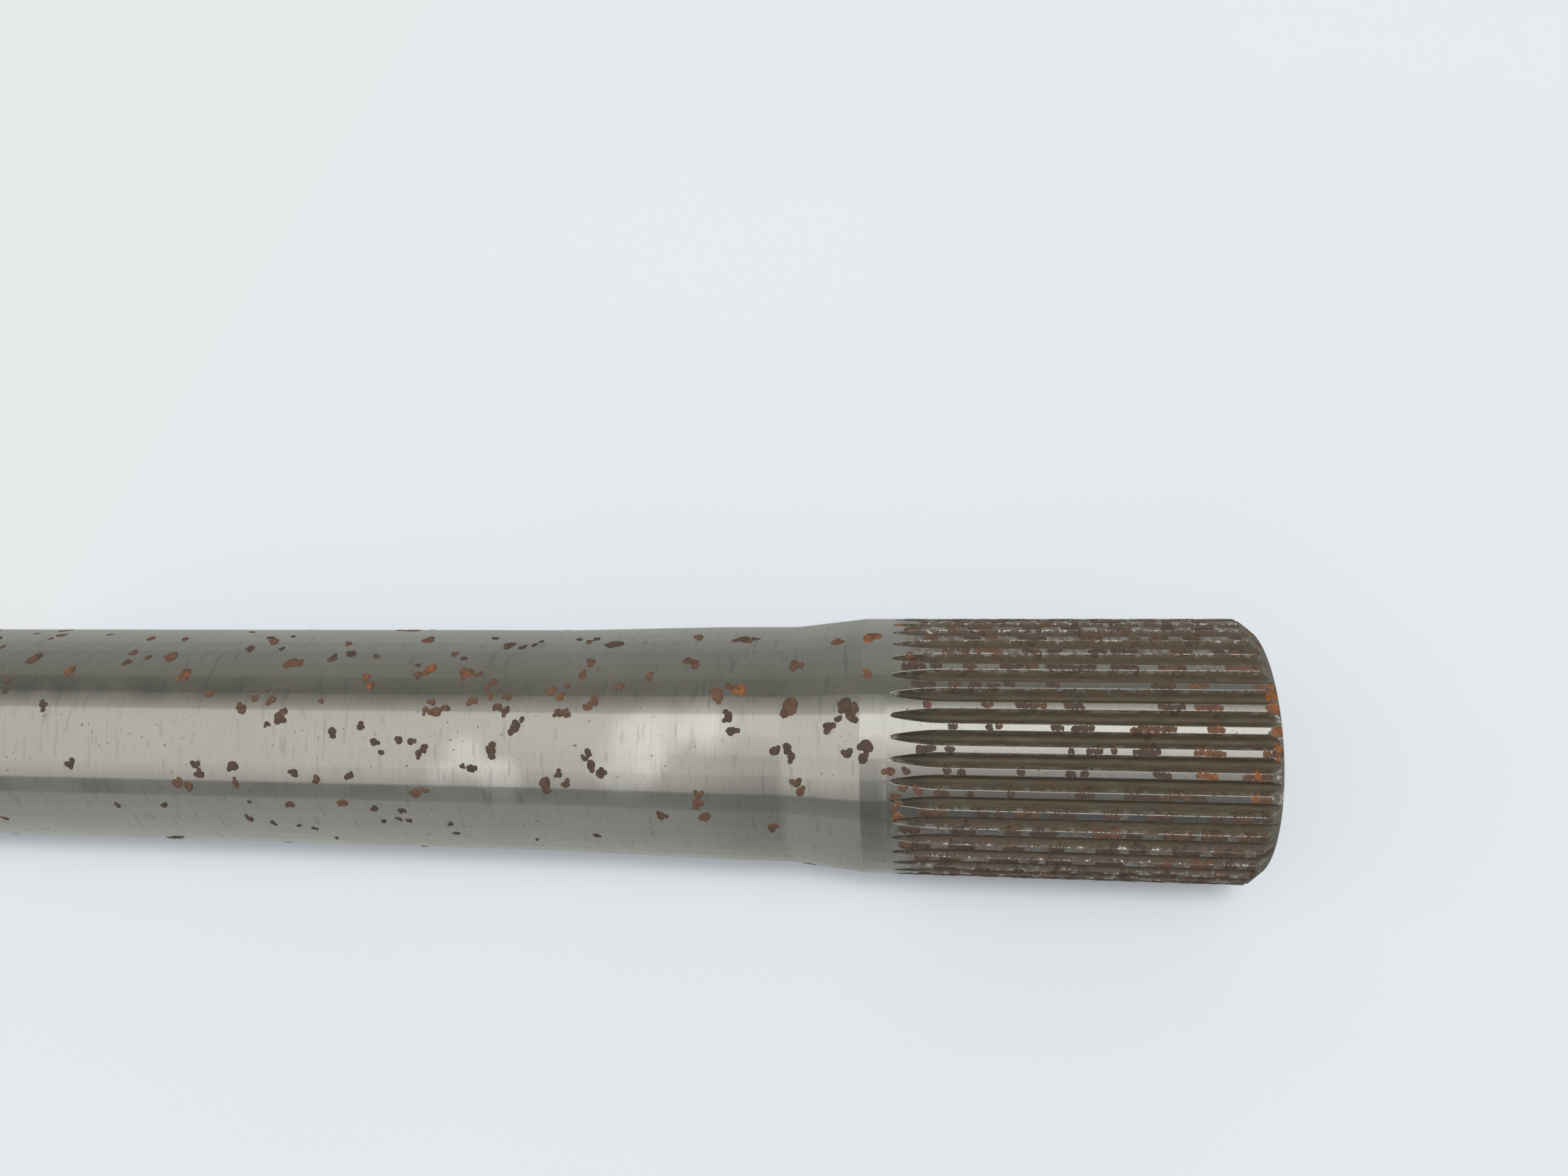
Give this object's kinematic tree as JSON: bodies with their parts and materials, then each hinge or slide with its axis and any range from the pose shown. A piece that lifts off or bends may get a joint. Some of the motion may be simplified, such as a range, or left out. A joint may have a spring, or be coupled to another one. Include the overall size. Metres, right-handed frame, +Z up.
{
  "type": "splined shaft",
  "caption": "Solid steel shaft end with a straight external involute spline, a ground land, a flared neck and a plain round body, lightly rusted.",
  "frame": {"origin": "centre of the plain end face, on the ground", "axes": "+Z up the shaft's axis, leaving it at the splined end; +X through the middle of a groove"},
  "size_m": [0.0434, 0.0434, 0.262],
  "materials": {
    "steel": "turned and ground, with rust spots"
  },
  "bodies": {
    "root": {"splined_shaft": "steel"}
  },
  "joints": []
}
